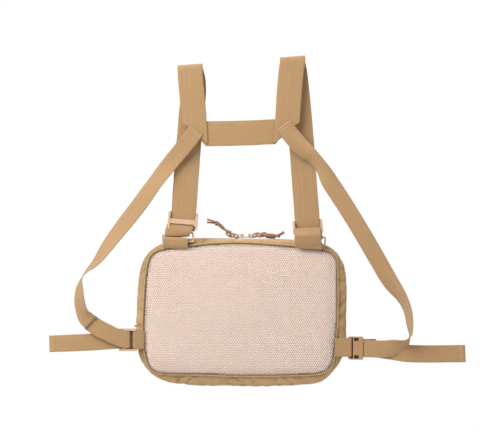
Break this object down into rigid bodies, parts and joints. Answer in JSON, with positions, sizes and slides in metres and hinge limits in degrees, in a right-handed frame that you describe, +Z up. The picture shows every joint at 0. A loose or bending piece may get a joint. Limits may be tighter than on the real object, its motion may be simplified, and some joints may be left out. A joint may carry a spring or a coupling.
{
  "type": "binocular harness pack",
  "caption": "Padded chest pack hung from a webbing harness: mesh back panel, zipped flap that folds forward, front pocket, shoulder loops, side straps, adjusters and a side-release buckle.",
  "frame": {"origin": "middle of the bar that the two shoulder loops hang on, halfway between the loops", "axes": "+X to the right as the mesh back is looked at, +Y from the mesh back to the front pocket, +Z up"},
  "size_m": [0.634, 0.1187, 0.5059],
  "materials": {
    "mesh": "open diamond mesh over foam",
    "foam": "closed-cell foam",
    "binding": "folded binding tape",
    "shell": "plain-woven coated nylon",
    "zipper": "coil zipper on woven tape",
    "metal": "dull coated metal",
    "cord": "braided cord",
    "sleeve": "dull moulded sleeve",
    "webbing": "ribbed nylon webbing",
    "plastic": "dull moulded acetal"
  },
  "bodies": {
    "pack": {"back_mesh": "mesh", "back_foam": "foam", "panel_binding": "binding", "pack_shell": "shell", "rear_zipper": "zipper", "zipper_end_left": "binding", "zipper_end_right": "binding", "anchor_loop_left": "webbing", "anchor_loop_right": "webbing", "ring_left": "plastic", "ring_right": "plastic", "shoulder_strap_left": "webbing", "shoulder_strap_right": "webbing", "yoke": "webbing", "side_strap_left": "webbing", "side_strap_right": "webbing", "lower_strap_left": "webbing", "side_tab_left": "webbing", "side_tab_right": "webbing", "ladder_lock_left": "plastic", "buckle_socket": "plastic"},
    "flap": {"flap_shell": "shell", "flap_foam": "foam", "front_zipper": "zipper", "front_pocket": "shell", "pocket_zipper": "zipper"},
    "zip_left": {"zip_slider_left": "metal"},
    "zip_right": {"zip_slider_right": "metal"},
    "pull_left": {"zip_puller_left": "metal", "pull_cord_left": "cord", "pull_knot_left": "cord"},
    "pull_right": {"zip_puller_right": "metal", "pull_cord_right": "cord", "pull_sleeve_right": "sleeve"},
    "pocket_zip": {"pocket_slider": "metal"},
    "pocket_pull": {"pocket_puller": "metal"},
    "adjuster_left": {"adjuster_left": "plastic", "strap_end_left": "webbing"},
    "adjuster_right": {"adjuster_right": "plastic", "strap_end_right": "webbing"},
    "plug": {"buckle_plug": "plastic", "lower_strap_right": "webbing"},
    "prong_upper": {"buckle_prong_upper": "plastic"},
    "prong_lower": {"buckle_prong_lower": "plastic"}
  },
  "joints": [
    {"name": "flap_fold", "type": "hinge", "parent": "pack", "child": "flap", "pos_m": [0, 0.078, -0.402], "axis": [-1, 0, 0], "range_deg": [0, 100]},
    {"name": "zip_left_slide", "type": "slide", "parent": "pack", "child": "zip_left", "axis": [-1, 0, 0], "range_m": [0, 0.075]},
    {"name": "zip_right_slide", "type": "slide", "parent": "pack", "child": "zip_right", "axis": [1, 0, 0], "range_m": [0, 0.075]},
    {"name": "pull_left_swing", "type": "hinge", "parent": "zip_left", "child": "pull_left", "pos_m": [0.0004, 0.045, -0.2593], "axis": [0, 1, 0], "range_deg": [0, 70]},
    {"name": "pull_right_swing", "type": "hinge", "parent": "zip_right", "child": "pull_right", "pos_m": [0.012, 0.045, -0.2593], "axis": [0, -1, 0], "range_deg": [0, 70]},
    {"name": "pocket_zip_slide", "type": "slide", "parent": "flap", "child": "pocket_zip", "axis": [1, 0, 0], "range_m": [0, 0.172]},
    {"name": "pocket_pull_swing", "type": "hinge", "parent": "pocket_zip", "child": "pocket_pull", "pos_m": [-0.086, 0.0953, -0.322], "axis": [1, 0, 0], "range_deg": [0, 90]},
    {"name": "adjuster_left_slide", "type": "slide", "parent": "pack", "child": "adjuster_left", "axis": [0.0785, 0, 0.9969], "range_m": [0, 0.045]},
    {"name": "adjuster_right_slide", "type": "slide", "parent": "pack", "child": "adjuster_right", "axis": [-0.0771, 0, 0.997], "range_m": [0, 0.045]},
    {"name": "plug_slide", "type": "slide", "parent": "pack", "child": "plug", "axis": [1, 0, 0], "range_m": [0, 0.022]},
    {"name": "prong_upper_bend", "type": "hinge", "parent": "plug", "child": "prong_upper", "pos_m": [0.1848, 0.006, -0.421], "axis": [0, -1, 0], "range_deg": [0, 6], "stiffness_Nm_per_rad": 0.02},
    {"name": "prong_lower_bend", "type": "hinge", "parent": "plug", "child": "prong_lower", "pos_m": [0.1848, 0.006, -0.441], "axis": [0, 1, 0], "range_deg": [0, 6], "stiffness_Nm_per_rad": 0.02}
  ]
}
